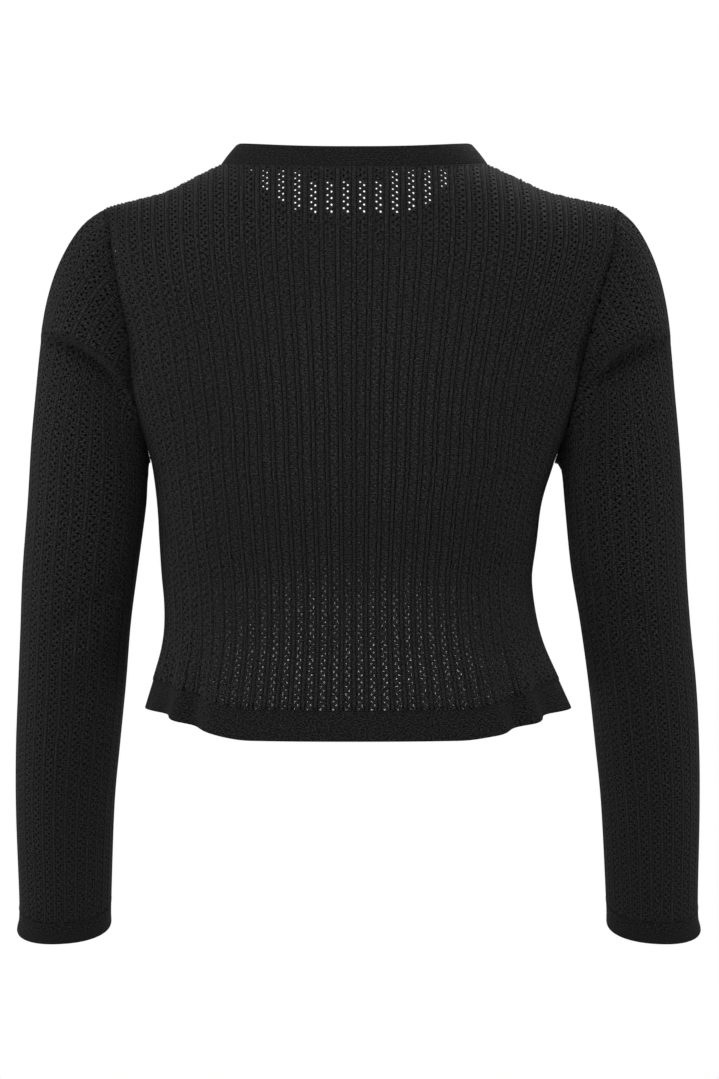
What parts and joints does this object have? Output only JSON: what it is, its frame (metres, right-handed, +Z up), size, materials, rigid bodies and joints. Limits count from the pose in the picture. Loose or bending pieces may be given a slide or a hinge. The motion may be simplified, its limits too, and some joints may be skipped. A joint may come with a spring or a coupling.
{
  "type": "ribbed pointelle knit cardigan",
  "caption": "Short fitted long-sleeved cardigan in openwork ribbed knit, round neck, buttoned front, plain narrow bands at neck, hem and cuffs.",
  "frame": {"origin": "middle of the neck opening, level with the back neck seam, where the wearer holds it up", "axes": "+Z up from the hem to the neck, -Y to the buttoned front, +X to the wearer's left sleeve"},
  "size_m": [0.5588, 0.2469, 0.6399],
  "materials": {
    "knit": "matte black fine-gauge openwork rib knit",
    "plain_knit": "matte black fine-gauge plain knit",
    "button": "semi-gloss black",
    "label": "blank black woven tape"
  },
  "bodies": {
    "root": {"back_panel": "knit", "front_left": "knit", "front_right": "knit", "sleeve_left": "knit", "sleeve_right": "knit", "cuff_left": "plain_knit", "cuff_right": "plain_knit", "hem_band_back": "plain_knit", "hem_band_front_left": "plain_knit", "hem_band_front_right": "plain_knit", "neck_band": "plain_knit", "buttonhole_band_right": "plain_knit", "button_band_left": "plain_knit", "button_1": "button", "button_2": "button", "button_3": "button", "button_4": "button", "button_5": "button", "button_6": "button", "button_7": "button", "neck_label": "label"}
  },
  "joints": []
}
